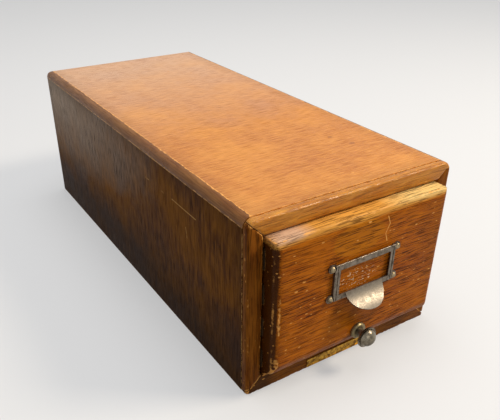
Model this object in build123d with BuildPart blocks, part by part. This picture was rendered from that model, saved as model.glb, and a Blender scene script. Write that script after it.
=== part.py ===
"""Single index card drawer: an oak case, a dovetailed drawer, a card rod and a sliding follower.

The front of the case faces -Y, +Z is up, and the origin is the middle of the case's footprint.
"""
from build123d import *
from math import asin, cos, degrees, radians, sin, tan
import os

os.makedirs("parts", exist_ok=True)

# ---------------------------------------------------------------- case
case_width = 178.0
case_depth = 402.0
case_height = 140.5
side_thickness = 12.0
top_thickness = 12.6
bottom_thickness = 13.5
back_thickness = 8.0
back_rebate = 6.0            # how far the back panel lets into each side
tongue_length = 5.0          # tongue of the bottom panel in each side
tongue_thickness = 5.0
bead_radius = 6.7            # quarter-round strips along the two long top edges
rear_round = 4.0             # rounding of the top's rear edge
lip_depth = 7.0              # solid lippings across the front edges of the panels
lip_round = 2.2              # outer arris of the lippings
lip_inner_round = 1.6        # arris round the drawer opening
stop_width = 60.0
stop_drop = 9.0              # how far the drawer stop hangs below the top
stop_length = 15.0
stop_setback = 3.0           # behind the drawer front when shut
stop_corner = 2.0
stop_screw_pitch = 36.0
stop_screw_length = 14.0
nail_head_radius = 1.6
nail_head_height = 0.7
nail_radius = 0.8
back_nail_length = 13.0
back_nail_edge = 3.0         # nails in from the edge of the drawer opening's side
back_nail_end = 14.0         # first nail above the floor, and last below the top panel
back_nails_per_side = 4
fittings_offset = -1.4       # label holder and strip left of the middle
strip_width = 68.0           # bare brass strip on the bottom lipping
strip_height = 7.2
strip_thickness = 0.6
strip_base = 1.2             # lower edge of the strip above the floor
strip_corner = 0.8
strip_rim = 0.8
strip_field_depth = 0.25

# ---------------------------------------------------------------- drawer
drawer_side_gap = 0.8        # each side of the drawer in the opening
drawer_top_gap = 0.6
drawer_run_gap = 0.3         # under the drawer's sides
front_foot_gap = 0.8         # under the drawer front
drawer_shut_gap = 0.3        # drawer's back to the case's back
front_thickness = 21.0
front_projection = 12.5      # drawer front proud of the case
front_bevel_depth = 2.5      # moulded edge, front to back
front_bevel_height = 6.2     # along the top and bottom of the face
front_bevel_width = 4.0      # down the sides of the face
front_undercut_height = 7.2  # lower edge relieved behind the moulding
front_undercut_start = 1.5   # in front of the case
front_arris = 1.2
front_face_arris = 1.4
drawer_side_thickness = 8.0
drawer_back_thickness = 8.0
drawer_back_drop = 4.0       # top of the drawer's back below the case's top panel
scoop_depth = 30.0           # how far the sides dip between their ends
scoop_end = 42.0             # length of the high part at each end
scoop_radius = 18.0
drawer_bottom_thickness = 4.0
drawer_bottom_height = 5.0   # groove above the lower edge of the sides
groove_depth = 4.0
groove_play = 0.3
tail_count = 4
front_tail_length = 7.5      # lapped tails in the drawer front
tail_width = 16.0            # wide end of a tail
tail_angle = 9.0
bottom_nail_count = 4
bottom_nail_pitch = 36.0
bottom_nail_length = 12.0
old_hole_pitch = 73.8        # two nail holes left by an earlier label holder
old_hole_height = 100.6
old_hole_radius = 0.9
old_hole_depth = 6.0

# ---------------------------------------------------------------- label holder
label_height = 82.6          # centre of the holder above the floor
label_frame_width = 55.0
label_frame_height = 29.4
label_bar = 4.5              # bars round the window
label_pin_overhang = 1.9     # pins outside the sides of the frame
label_pin_drop = 2.4         # pins in from its top and bottom
label_stand = 2.4            # holder's front above the drawer front
label_metal = 0.9
label_slot_foot = 1.6        # card slot below the window
label_slot_wall = 1.5        # and its walls at the sides
label_corner = 1.2
label_edge_round = 0.6
label_ear_radius = 3.1
label_ear_thickness = 1.3
label_line_width = 0.9       # line rolled in the side bars
label_line_depth = 0.35
label_line_inset = 2.2
label_pin_radius = 0.9
label_pin_length = 9.0
label_pin_head_radius = 2.3
label_pin_head_height = 1.9
label_pin_relief = 0.3
tongue_half_width = 16.8
tongue_length_along = 18.0   # pull tongue, along its curve
tongue_lean_root = 30.0      # from the vertical where it leaves the holder
tongue_lean_tip = 74.0

# ---------------------------------------------------------------- card rod
rod_height = 30.8            # rod's centre above the floor
rod_radius = 3.0
rod_tip_chamfer = 1.0
rod_bore_radius = 3.5        # in wood and in the socket plate
rod_end_play = 0.5
rod_socket_depth = 5.0       # rod's tip in the drawer's back
bush_flange_radius = 6.5
bush_flange_rim = 1.0
bush_dome_height = 3.4
bush_crown_width = 1.2
bush_shank_radius = 4.6
bush_shank_length = 12.0
bush_clearance = 0.08
knob_start = 7.4             # back of the knob in front of the drawer front
knob_radius = 8.3
knob_neck_radius = 3.8
knob_flare = 2.6
knob_rim = 1.1
knob_waist_radius = 6.6
knob_waist = 0.7
knob_dome_radius = 7.0
knob_dome_height = 5.0
knob_bore_depth = 6.5
spigot_radius = 1.6
spigot_clearance = 0.06
knob_face_gap = 0.3
socket_plate_width = 34.0
socket_plate_height = 14.0
socket_plate_thickness = 2.0
socket_plate_corner = 2.0
socket_collar_radius = 6.0
socket_collar_length = 3.0
socket_screw_pitch = 24.0
socket_screw_length = 8.5

# ---------------------------------------------------------------- follower
follower_width = 104.0
follower_length = 50.0
follower_height = 20.0
follower_rear_gap = 23.7     # behind the follower's block at rest
follower_floor_gap = 0.4
follower_corner = 3.0
follower_end_gap = 1.0       # left at each end of its run
rest_width = 116.0
rest_slope_height = 63.0     # along its slope, above the block
rest_thickness = 6.0
rest_lean = 15.0
rest_setback = 13.0
rest_tenon_depth = 7.0
rest_tenon_inset = 10.0
rest_corner = 12.0
insert_radius = 4.5
insert_length = 8.0
insert_setback = 12.0        # clamp screw in from the rear of the block
screw_radius = 2.5
screw_clearance = 0.06
screw_hole_radius = 3.2
screw_tip_gap = 0.3
screw_head_radius = 8.0
screw_head_height = 6.0
screw_head_lift = 1.2
screw_head_round = 0.8
screw_head_flutes = 18
screw_flute_radius = 0.8

# ---------------------------------------------------------------- wood screws
wood_screw_head = 3.0
wood_screw_radius = 1.5
wood_screw_slot = 0.7
pilot_clearance = 0.05
same_place = 0.01            # points this close count as one

# ---------------------------------------------------------------- places that follow from the sizes
half_width = case_width / 2
front_y = -case_depth / 2
back_y = case_depth / 2
inner_half = half_width - side_thickness
strip_half = half_width - bead_radius
ceiling_z = case_height - top_thickness
bead_low_z = case_height - bead_radius
panel_front_y = front_y + lip_depth
back_inner_y = back_y - back_thickness

drawer_half = inner_half - drawer_side_gap
drawer_inner_half = drawer_half - drawer_side_thickness
drawer_floor_z = bottom_thickness + drawer_run_gap
face_y = front_y - front_projection
bevel_y = face_y + front_bevel_depth
front_rear_y = face_y + front_thickness
front_low_z = bottom_thickness + front_foot_gap
front_foot_z = front_low_z + front_undercut_height
front_top_z = ceiling_z - drawer_top_gap
drawer_rear_y = back_inner_y - drawer_shut_gap
drawer_back_y = drawer_rear_y - drawer_back_thickness
drawer_high_z = ceiling_z - drawer_back_drop
tray_low_z = drawer_floor_z + drawer_bottom_height
tray_top_z = tray_low_z + drawer_bottom_thickness
stop_front_y = front_rear_y + stop_setback
stop_rear_y = stop_front_y + stop_length
stop_low_z = ceiling_z - stop_drop

holder_front_y = face_y - label_stand
label_window_width = label_frame_width - 2 * label_bar
label_window_height = label_frame_height - 2 * label_bar
label_slot_width = label_frame_width - 2 * label_slot_wall
label_pin_pitch_x = label_frame_width + 2 * label_pin_overhang
label_pin_pitch_z = label_frame_height - 2 * label_pin_drop
window_low_z = label_height - label_window_height / 2
rod_end_y = drawer_back_y + rod_socket_depth
follower_low_z = tray_top_z + follower_floor_gap
follower_top_z = follower_low_z + follower_height
follower_rear_y = drawer_back_y - follower_rear_gap
follower_front_y = follower_rear_y - follower_length
insert_y = follower_rear_y - insert_setback

# How far the moving parts go.
drawer_travel = drawer_back_y - stop_rear_y
rod_travel = rod_end_y - front_rear_y
follower_forward = follower_front_y - front_rear_y - follower_end_gap
follower_backward = (
    drawer_back_y - socket_plate_thickness - socket_collar_length - follower_rear_y - follower_end_gap
)

# Planes on which pieces are laid out.
front_plane = Plane.XZ.offset(-front_y)
panel_plane = Plane.XZ.offset(-panel_front_y)
back_inner_plane = Plane.XZ.offset(-back_inner_y)
face_plane = Plane.XZ.offset(-face_y)
back_nail_plane = Plane(origin=(0, back_y, ceiling_z / 2), x_dir=(-1, 0, 0), z_dir=(0, 1, 0))
stop_screw_plane = Plane(
    origin=(0, (stop_front_y + stop_rear_y) / 2, stop_low_z), x_dir=(1, 0, 0), z_dir=(0, 0, -1)
)
ear_plane = Plane(
    origin=(fittings_offset, face_y - label_ear_thickness, label_height),
    x_dir=(1, 0, 0),
    z_dir=(0, -1, 0),
)
old_hole_plane = Plane(origin=(0, face_y, old_hole_height), x_dir=(1, 0, 0), z_dir=(0, -1, 0))
rod_front_plane = Plane(origin=(0, face_y, rod_height), x_dir=(1, 0, 0), z_dir=(0, -1, 0))
rod_back_plane = Plane(origin=(0, drawer_back_y, rod_height), x_dir=(1, 0, 0), z_dir=(0, -1, 0))
socket_plane = Plane(
    origin=(0, drawer_back_y - socket_plate_thickness, rod_height), x_dir=(1, 0, 0), z_dir=(0, -1, 0)
)
bottom_nail_plane = Plane(
    origin=(0, (drawer_back_y + drawer_rear_y) / 2, tray_low_z), x_dir=(1, 0, 0), z_dir=(0, 0, -1)
)
rest_plane = Plane(
    origin=(0, follower_front_y + rest_setback, follower_top_z),
    x_dir=(1, 0, 0),
    z_dir=(0, -cos(radians(rest_lean)), sin(radians(rest_lean))),
)
screw_plane = Plane.XY.offset(follower_top_z)

# Half sections about the rod's axis: radius up, distance in front of the drawer front across.
rod_section = Plane(origin=(0, face_y, rod_height), x_dir=(0, 0, 1), z_dir=(1, 0, 0))
rod_axis = Axis((0, face_y, rod_height), (0, -1, 0))

# Nail and screw patterns, shared by the fasteners and by the holes that take them.
back_nail_rows = (ceiling_z - 2 * back_nail_end) / (back_nails_per_side - 1)


def back_nail_pattern():
    """Places of the nails up both edges of the back panel."""
    return GridLocations(2 * (inner_half + back_nail_edge), back_nail_rows, 2, back_nails_per_side)


def bottom_nail_pattern():
    """Places of the nails under the drawer's back."""
    return GridLocations(bottom_nail_pitch, 0, bottom_nail_count, 1)


def label_pin_pattern():
    """Places of the four pins of the label holder."""
    return GridLocations(label_pin_pitch_x, label_pin_pitch_z, 2, 2)


def save(builder, name):
    """Label a finished piece and write it under its own name."""
    builder.part.label = name
    export_step(builder.part, f"parts/{name}.step")


def on_bevel_edge(edge, edge_y):
    """Whether both ends of an edge lie at this depth."""
    return all(abs(end.Y - edge_y) < same_place for end in edge.vertices())


def cap_arc(radius, base, height):
    """Arc of a low dome, from its rim on the right up to the axis."""
    sphere = (radius**2 + height**2) / (2 * height)
    spread = degrees(asin(radius / sphere))
    return CenterArc((0, base + height - sphere), sphere, 90 - spread, spread)


def domed_pin(head_radius, head_height, shank_radius, shank_length):
    """A round-headed pin, its head standing on the XY plane."""
    with BuildPart() as pin:
        with BuildSketch(Plane.XZ):
            with BuildLine():
                cap_arc(head_radius, 0, head_height)
                Polyline(
                    (0, head_height),
                    (0, -shank_length),
                    (shank_radius, -shank_length),
                    (shank_radius, 0),
                    (head_radius, 0),
                )
            make_face()
        revolve(axis=Axis.Z)
    return pin.part


def wood_screw(length):
    """A slotted countersunk screw, its head level with the XY plane."""
    head_depth = wood_screw_head - wood_screw_radius
    with BuildPart() as screw:
        with BuildSketch(Plane.XZ):
            with BuildLine():
                Polyline(
                    (0, 0),
                    (wood_screw_head, 0),
                    (wood_screw_radius, -head_depth),
                    (wood_screw_radius, -length + wood_screw_radius),
                    (0, -length),
                    close=True,
                )
            make_face()
        revolve(axis=Axis.Z)
        with BuildSketch(Plane.XY):
            Rectangle(2 * wood_screw_head, wood_screw_slot)
        extrude(amount=-head_depth / 2, mode=Mode.SUBTRACT)
    return screw.part


def tail_row(sign, root_y, end_y, low_z):
    """The dovetails at one end of a drawer side, narrow at root_y and wide at end_y."""
    pitch = (drawer_high_z - low_z) / tail_count
    narrow_width = tail_width - 2 * abs(end_y - root_y) * tan(radians(tail_angle))
    with BuildPart() as tails:
        for tail in range(tail_count):
            middle = low_z + pitch * (tail + 0.5)
            with BuildSketch(Plane.YZ.offset(sign * drawer_inner_half)):
                with BuildLine():
                    Polyline(
                        (root_y, middle - narrow_width / 2),
                        (root_y, middle + narrow_width / 2),
                        (end_y, middle + tail_width / 2),
                        (end_y, middle - tail_width / 2),
                        close=True,
                    )
                make_face()
        extrude(amount=sign * drawer_side_thickness)
    return tails.part


# ================================================================ case
# Side panels: stepped along the top to carry the top panel and the corner strip.
for side_name, sign in (("left", -1), ("right", 1)):
    with BuildPart() as case_side:
        with BuildSketch(panel_plane):
            with BuildLine():
                Polyline(
                    (sign * inner_half, 0),
                    (sign * half_width, 0),
                    (sign * half_width, bead_low_z),
                    (sign * strip_half, bead_low_z),
                    (sign * strip_half, ceiling_z),
                    (sign * inner_half, ceiling_z),
                    close=True,
                )
            make_face()
        extrude(amount=-(back_y - panel_front_y))
        with BuildSketch(panel_plane):
            with Locations((sign * inner_half, bottom_thickness / 2)):
                Rectangle(2 * tongue_length, tongue_thickness)
        extrude(amount=-(back_inner_y - panel_front_y), mode=Mode.SUBTRACT)
        with BuildSketch(back_inner_plane):
            with Locations((sign * inner_half, ceiling_z / 2)):
                Rectangle(2 * back_rebate, ceiling_z)
        extrude(amount=-back_thickness, mode=Mode.SUBTRACT)
        with Locations(back_nail_plane):
            with back_nail_pattern():
                Hole(nail_radius, back_nail_length)
    save(case_side, f"case_{side_name}_panel")

# Bottom panel: tongued into both sides.
with BuildPart() as case_bottom:
    with BuildSketch(panel_plane):
        with Locations((0, bottom_thickness / 2)):
            Rectangle(2 * inner_half, bottom_thickness)
            Rectangle(2 * (inner_half + tongue_length - groove_play), tongue_thickness)
    extrude(amount=-(back_inner_y - panel_front_y))
save(case_bottom, "case_bottom_panel")

# Top panel: sits on the side panels' shoulders, its rear edge rounded.
with BuildPart() as case_top:
    with BuildSketch(panel_plane):
        with Locations((0, ceiling_z + top_thickness / 2)):
            Rectangle(2 * strip_half, top_thickness)
    extrude(amount=-(back_y - panel_front_y))
    fillet(case_top.edges().group_by(Axis.Y)[-1].sort_by(Axis.Z)[-1], rear_round)
    with Locations(stop_screw_plane):
        with GridLocations(stop_screw_pitch, 0, 2, 1):
            Hole(wood_screw_radius + pilot_clearance, stop_screw_length)
save(case_top, "case_top_panel")

# Corner strips: quarter-rounds let in along the two long top edges.
for side_name, sign in (("left", -1), ("right", 1)):
    with BuildPart() as corner_strip:
        with BuildSketch(panel_plane):
            with Locations((sign * strip_half, bead_low_z)):
                Circle(bead_radius)
            with Locations((sign * (strip_half + bead_radius / 2), bead_low_z + bead_radius / 2)):
                Rectangle(bead_radius, bead_radius, mode=Mode.INTERSECT)
        extrude(amount=-(back_y - panel_front_y))
        with BuildSketch(Plane.YZ) as strip_side_view:
            with Locations(((panel_front_y + back_y) / 2, bead_low_z + bead_radius / 2)):
                Rectangle(back_y - panel_front_y, bead_radius)
            fillet(strip_side_view.vertices().group_by(Axis.X)[-1].sort_by(Axis.Y)[-1], rear_round)
        extrude(amount=half_width, both=True, mode=Mode.INTERSECT)
    save(corner_strip, f"corner_strip_{side_name}")

# Back panel, in the side panels' rebates and under the top.
with BuildPart() as case_back:
    with BuildSketch(back_inner_plane):
        with Locations((0, ceiling_z / 2)):
            Rectangle(2 * (inner_half + back_rebate), ceiling_z)
    extrude(amount=-back_thickness)
    with Locations(back_nail_plane):
        with back_nail_pattern():
            Hole(nail_radius, back_nail_length)
save(case_back, "case_back_panel")

# Nails through the back panel into the side panels.
back_nail = domed_pin(nail_head_radius, nail_head_height, nail_radius, back_nail_length)
with BuildPart() as back_nails:
    with Locations(back_nail_plane):
        with back_nail_pattern():
            add(back_nail)
save(back_nails, "back_panel_nails")

# Front lippings: one moulded frame round the opening, mitred into four strips.
with BuildPart() as lip_frame:
    with BuildSketch(front_plane) as lip_outline:
        with Locations((0, case_height / 2)):
            Rectangle(case_width, case_height)
        fillet(lip_outline.vertices().group_by(Axis.Y)[-1], bead_radius)
        with Locations((0, (bottom_thickness + ceiling_z) / 2)):
            Rectangle(2 * inner_half, ceiling_z - bottom_thickness, mode=Mode.SUBTRACT)
    extrude(amount=-lip_depth)
    front_edges = lip_frame.faces().sort_by(Axis.Y)[0].edges()
    opening_edges = lip_frame.faces().sort_by(Axis.Y)[0].inner_wires()[0].edges()
    foot_edge = front_edges.sort_by(Axis.Z)[0:1]
    outer_edges = front_edges - opening_edges - foot_edge
    fillet(outer_edges, lip_round)
    fillet(opening_edges, lip_inner_round)

# The mitres run out from the corners of the opening at 45 degrees.
outer_corners = {
    "bottom_left": (-inner_half - bottom_thickness, 0),
    "bottom_right": (inner_half + bottom_thickness, 0),
    "top_right": (inner_half + top_thickness, case_height),
    "top_left": (-inner_half - top_thickness, case_height),
}
inner_corners = {
    "bottom_left": (-inner_half, bottom_thickness),
    "bottom_right": (inner_half, bottom_thickness),
    "top_right": (inner_half, ceiling_z),
    "top_left": (-inner_half, ceiling_z),
}
lip_ends = {
    "bottom": ("bottom_left", "bottom_right"),
    "right": ("bottom_right", "top_right"),
    "top": ("top_right", "top_left"),
    "left": ("top_left", "bottom_left"),
}
for lip_name, (first, last) in lip_ends.items():
    with BuildPart() as lip:
        add(lip_frame.part)
        with BuildSketch(front_plane):
            with BuildLine():
                Polyline(
                    outer_corners[first],
                    outer_corners[last],
                    inner_corners[last],
                    inner_corners[first],
                    close=True,
                )
            make_face()
        extrude(amount=-lip_depth, mode=Mode.INTERSECT)
    save(lip, f"front_lip_{lip_name}")

# Drawer stop: a block under the top that catches the drawer's back.
with BuildPart() as drawer_stop:
    with BuildSketch(Plane.XY.offset(ceiling_z)):
        with Locations((0, (stop_front_y + stop_rear_y) / 2)):
            RectangleRounded(stop_width, stop_length, stop_corner)
    extrude(amount=-stop_drop)
    with Locations(stop_screw_plane):
        with GridLocations(stop_screw_pitch, 0, 2, 1):
            CounterSinkHole(wood_screw_radius + pilot_clearance, wood_screw_head, stop_drop, 90)
save(drawer_stop, "drawer_stop_block")

stop_screw = wood_screw(stop_screw_length)
with BuildPart() as drawer_stop_screws:
    with Locations(stop_screw_plane):
        with GridLocations(stop_screw_pitch, 0, 2, 1):
            add(stop_screw)
save(drawer_stop_screws, "drawer_stop_screws")

# Bare brass strip on the bottom lipping, with a raised rim.
with BuildPart() as brass_strip:
    with BuildSketch(front_plane):
        with Locations((fittings_offset, strip_base + strip_height / 2)):
            RectangleRounded(strip_width, strip_height, strip_corner)
    extrude(amount=strip_thickness)
    with BuildSketch(front_plane.offset(strip_thickness)):
        with Locations((fittings_offset, strip_base + strip_height / 2)):
            Rectangle(strip_width - 2 * strip_rim, strip_height - 2 * strip_rim)
    extrude(amount=-strip_field_depth, mode=Mode.SUBTRACT)
save(brass_strip, "brass_strip")

# ================================================================ drawer
# Dovetails of the drawer sides: lapped into the front, right through the back.
front_tails = {
    sign: tail_row(sign, front_rear_y, front_rear_y - front_tail_length, front_low_z) for sign in (-1, 1)
}
back_tails = {sign: tail_row(sign, drawer_back_y, drawer_rear_y, tray_top_z) for sign in (-1, 1)}

# Drawer front: moulded round its face, lower edge relieved, sockets for the sides' lapped tails.
with BuildPart() as drawer_front:
    with BuildSketch(Plane.YZ):
        with BuildLine():
            Polyline(
                (front_rear_y, front_low_z),
                (front_rear_y, front_top_z),
                (bevel_y, front_top_z),
                (face_y, front_top_z - front_bevel_height),
                (face_y, front_foot_z + front_bevel_height),
                (bevel_y, front_foot_z),
                (front_y - front_undercut_start, front_low_z),
                close=True,
            )
        make_face()
    extrude(amount=half_width, both=True)
    with BuildSketch(Plane.XY):
        with BuildLine():
            Polyline(
                (-drawer_half, stop_rear_y),
                (-drawer_half, bevel_y),
                (-drawer_half + front_bevel_width, face_y),
                (drawer_half - front_bevel_width, face_y),
                (drawer_half, bevel_y),
                (drawer_half, stop_rear_y),
                close=True,
            )
        make_face()
    extrude(amount=case_height, mode=Mode.INTERSECT)
    fillet(drawer_front.faces().sort_by(Axis.Y)[0].edges(), front_face_arris)
    fillet(drawer_front.edges().filter_by(lambda edge: on_bevel_edge(edge, bevel_y)), front_arris)
    for sign in (-1, 1):
        add(front_tails[sign], mode=Mode.SUBTRACT)
    with BuildSketch(Plane.XY.offset(tray_low_z)):
        with Locations((0, front_rear_y)):
            Rectangle(2 * drawer_inner_half, 2 * groove_depth)
    extrude(amount=drawer_bottom_thickness, mode=Mode.SUBTRACT)
    with Locations(rod_front_plane):
        Hole(bush_shank_radius, bush_shank_length)
        Hole(rod_bore_radius, front_thickness)
    with Locations(ear_plane):
        with label_pin_pattern():
            Hole(label_pin_radius, label_pin_length)
    with Locations(old_hole_plane):
        with GridLocations(old_hole_pitch, 0, 2, 1):
            Hole(old_hole_radius, old_hole_depth)
save(drawer_front, "drawer_front")

# Drawer sides: tails at both ends, scooped between them, grooved for the bottom.
for side_name, sign in (("left", -1), ("right", 1)):
    with BuildPart() as drawer_side:
        with BuildSketch(Plane.YZ.offset(sign * drawer_inner_half)) as side_view:
            with BuildLine():
                Polyline(
                    (front_rear_y, drawer_floor_z),
                    (drawer_rear_y, drawer_floor_z),
                    (drawer_rear_y, tray_top_z),
                    (drawer_back_y, tray_top_z),
                    (drawer_back_y, drawer_high_z),
                    (drawer_back_y - scoop_end, drawer_high_z),
                    (drawer_back_y - scoop_end - scoop_depth, drawer_high_z - scoop_depth),
                    (front_rear_y + scoop_end + scoop_depth, drawer_high_z - scoop_depth),
                    (front_rear_y + scoop_end, drawer_high_z),
                    (front_rear_y, drawer_high_z),
                    close=True,
                )
            make_face()
            scoop_points = side_view.vertices().filter_by(
                lambda point: front_rear_y + scoop_end / 2 < point.X < drawer_back_y - scoop_end / 2
            )
            fillet(scoop_points, scoop_radius)
        extrude(amount=sign * drawer_side_thickness)
        add(front_tails[sign])
        add(back_tails[sign])
        with BuildSketch(Plane.XY.offset(tray_low_z)):
            with Locations((sign * drawer_inner_half, (front_rear_y + drawer_rear_y) / 2)):
                Rectangle(2 * groove_depth, drawer_rear_y - front_rear_y)
        extrude(amount=drawer_bottom_thickness, mode=Mode.SUBTRACT)
    save(drawer_side, f"drawer_{side_name}_side")

# Drawer back: stands on the bottom panel, its sockets filled by the sides' through tails.
with BuildPart() as drawer_back:
    with BuildSketch(Plane.XY.offset(tray_top_z)):
        with Locations((0, (drawer_back_y + drawer_rear_y) / 2)):
            Rectangle(2 * drawer_half, drawer_back_thickness)
    extrude(amount=drawer_high_z - tray_top_z)
    for sign in (-1, 1):
        add(back_tails[sign], mode=Mode.SUBTRACT)
    with Locations(rod_back_plane):
        Hole(rod_bore_radius, rod_socket_depth + rod_end_play)
    with Locations(socket_plane):
        with GridLocations(socket_screw_pitch, 0, 2, 1):
            Hole(wood_screw_radius + pilot_clearance, socket_screw_length)
    with Locations(bottom_nail_plane):
        with bottom_nail_pattern():
            Hole(nail_radius, bottom_nail_length)
save(drawer_back, "drawer_back")

# Drawer bottom: in the grooves of the sides and the front, and under the back.
with BuildPart() as drawer_bottom:
    with BuildSketch(Plane.XY.offset(tray_low_z)):
        with Locations((0, (front_rear_y + drawer_rear_y) / 2)):
            Rectangle(2 * (drawer_inner_half + groove_depth - groove_play), drawer_rear_y - front_rear_y)
        with Locations((0, front_rear_y)):
            Rectangle(2 * (drawer_inner_half - groove_play), 2 * (groove_depth - groove_play))
    extrude(amount=drawer_bottom_thickness)
    with Locations(bottom_nail_plane):
        with bottom_nail_pattern():
            Hole(nail_radius, bottom_nail_length)
save(drawer_bottom, "drawer_bottom")

bottom_nail = domed_pin(nail_head_radius, nail_head_height, nail_radius, bottom_nail_length)
with BuildPart() as drawer_bottom_nails:
    with Locations(bottom_nail_plane):
        with bottom_nail_pattern():
            add(bottom_nail)
save(drawer_bottom_nails, "drawer_bottom_nails")

# ================================================================ label holder
# Pull tongue: a half-round of the holder's metal, curling out from the window's lower edge.
tongue_turn = tongue_lean_tip - tongue_lean_root
tongue_curl = tongue_length_along / radians(tongue_turn)
tongue_chord = 2 * tongue_curl * sin(radians(tongue_turn / 2))
tongue_lean = radians((tongue_lean_root + tongue_lean_tip) / 2)
tongue_centre = (
    holder_front_y - tongue_curl * cos(radians(tongue_lean_root)),
    window_low_z + tongue_curl * sin(radians(tongue_lean_root)),
)
with BuildPart() as pull_tongue:
    with BuildSketch(Plane.YZ):
        with BuildLine():
            front_curve = CenterArc(tongue_centre, tongue_curl, -tongue_lean_root, -tongue_turn)
            rear_curve = CenterArc(tongue_centre, tongue_curl + label_metal, -tongue_lean_root, -tongue_turn)
            Line(front_curve @ 0, rear_curve @ 0)
            Line(front_curve @ 1, rear_curve @ 1)
        make_face()
    extrude(amount=half_width, both=True)
    with BuildSketch(
        Plane(
            origin=(fittings_offset, holder_front_y, window_low_z),
            x_dir=(1, 0, 0),
            z_dir=(0, cos(tongue_lean), -sin(tongue_lean)),
        )
    ):
        Ellipse(tongue_half_width, tongue_chord)
    extrude(amount=tongue_chord, both=True, mode=Mode.INTERSECT)

# Label holder: raised bars round a window, a card slot behind them open at the top, four ears.
with BuildPart() as label_frame:
    with BuildSketch(face_plane):
        with Locations((fittings_offset, label_height)):
            RectangleRounded(label_frame_width, label_frame_height, label_corner)
    extrude(amount=label_stand)
    fillet(label_frame.faces().sort_by(Axis.Y)[0].edges(), label_edge_round)
    with BuildSketch(face_plane.offset(label_stand)):
        with Locations((fittings_offset, label_height)):
            with GridLocations(label_frame_width - 2 * label_line_inset, 0, 2, 1):
                Rectangle(label_line_width, label_frame_height - 2 * label_line_width)
    extrude(amount=-label_line_depth, mode=Mode.SUBTRACT)
    with BuildSketch(face_plane):
        with Locations((fittings_offset, label_height)):
            Rectangle(label_window_width, label_window_height)
    extrude(amount=label_stand, mode=Mode.SUBTRACT)
    with BuildSketch(face_plane):
        slot_low_z = window_low_z - label_slot_foot
        slot_high_z = label_height + label_frame_height / 2
        with Locations((fittings_offset, (slot_low_z + slot_high_z) / 2)):
            Rectangle(label_slot_width, slot_high_z - slot_low_z)
    extrude(amount=label_stand - label_metal, mode=Mode.SUBTRACT)
    with Locations(ear_plane):
        with label_pin_pattern():
            Cylinder(
                label_pin_head_radius + label_pin_relief,
                label_stand,
                align=(Align.CENTER, Align.CENTER, Align.MIN),
                mode=Mode.SUBTRACT,
            )
            Cylinder(label_ear_radius, label_ear_thickness, align=(Align.CENTER, Align.CENTER, Align.MAX))
            Hole(label_pin_radius, label_pin_length)
    add(pull_tongue.part)
save(label_frame, "label_frame")

label_pin = domed_pin(label_pin_head_radius, label_pin_head_height, label_pin_radius, label_pin_length)
with BuildPart() as label_pins:
    with Locations(ear_plane):
        with label_pin_pattern():
            add(label_pin)
save(label_pins, "label_frame_pins")

# ================================================================ card rod
# Bush: a domed rosette on the drawer front, its shank lining the bore.
with BuildPart() as rod_bush:
    with BuildSketch(rod_section):
        with BuildLine():
            bush_bore = rod_radius + bush_clearance
            TangentArc(
                (bush_flange_radius, bush_flange_rim),
                (bush_bore + bush_crown_width, bush_dome_height),
                tangent=(0, 1),
            )
            Polyline(
                (bush_bore + bush_crown_width, bush_dome_height),
                (bush_bore, bush_dome_height),
                (bush_bore, -bush_shank_length),
                (bush_shank_radius, -bush_shank_length),
                (bush_shank_radius, 0),
                (bush_flange_radius, 0),
                (bush_flange_radius, bush_flange_rim),
            )
        make_face()
    revolve(axis=rod_axis)
save(rod_bush, "rod_bush")

# Rod: runs the length of the drawer, with a spigot for the knob and a chamfered tip.
rod_shoulder = knob_start - knob_face_gap
rod_tip = face_y - rod_end_y
with BuildPart() as card_rod:
    with BuildSketch(rod_section):
        with BuildLine():
            Polyline(
                (0, rod_tip),
                (rod_radius - rod_tip_chamfer, rod_tip),
                (rod_radius, rod_tip + rod_tip_chamfer),
                (rod_radius, rod_shoulder),
                (spigot_radius, rod_shoulder),
                (spigot_radius, knob_start + knob_bore_depth - knob_face_gap),
                (0, knob_start + knob_bore_depth - knob_face_gap),
                close=True,
            )
        make_face()
    revolve(axis=rod_axis)
save(card_rod, "card_rod")

# Knob: a flared disc with a domed cap.
rim_start = knob_start + knob_flare
dome_start = rim_start + knob_rim + knob_waist
with BuildPart() as rod_knob:
    with BuildSketch(rod_section):
        with BuildLine():
            knob_bore = spigot_radius + spigot_clearance
            EllipticalCenterArc(
                (knob_radius, knob_start),
                knob_radius - knob_neck_radius,
                knob_flare,
                start_angle=90,
                arc_size=90,
            )
            Polyline(
                (knob_radius, rim_start),
                (knob_radius, rim_start + knob_rim),
                (knob_waist_radius, rim_start + knob_rim),
                (knob_waist_radius, dome_start),
                (knob_dome_radius, dome_start),
            )
            cap_arc(knob_dome_radius, dome_start, knob_dome_height)
            Polyline(
                (0, dome_start + knob_dome_height),
                (0, knob_start + knob_bore_depth),
                (knob_bore, knob_start + knob_bore_depth),
                (knob_bore, knob_start),
                (knob_neck_radius, knob_start),
            )
        make_face()
    revolve(axis=rod_axis)
save(rod_knob, "rod_knob")

# Socket plate: takes the rod's tip, on the inside of the drawer's back.
with BuildPart() as socket_plate:
    with BuildSketch(rod_back_plane):
        RectangleRounded(socket_plate_width, socket_plate_height, socket_plate_corner)
    extrude(amount=socket_plate_thickness)
    with BuildSketch(socket_plane):
        Circle(socket_collar_radius)
    extrude(amount=socket_collar_length)
    with Locations(socket_plane):
        Hole(rod_bore_radius, socket_plate_thickness + socket_collar_length)
        with GridLocations(socket_screw_pitch, 0, 2, 1):
            CounterSinkHole(wood_screw_radius + pilot_clearance, wood_screw_head, socket_plate_thickness, 90)
save(socket_plate, "rod_socket_plate")

socket_screw = wood_screw(socket_screw_length)
with BuildPart() as socket_screws:
    with Locations(socket_plane):
        with GridLocations(socket_screw_pitch, 0, 2, 1):
            add(socket_screw)
save(socket_screws, "rod_socket_screws")

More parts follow.
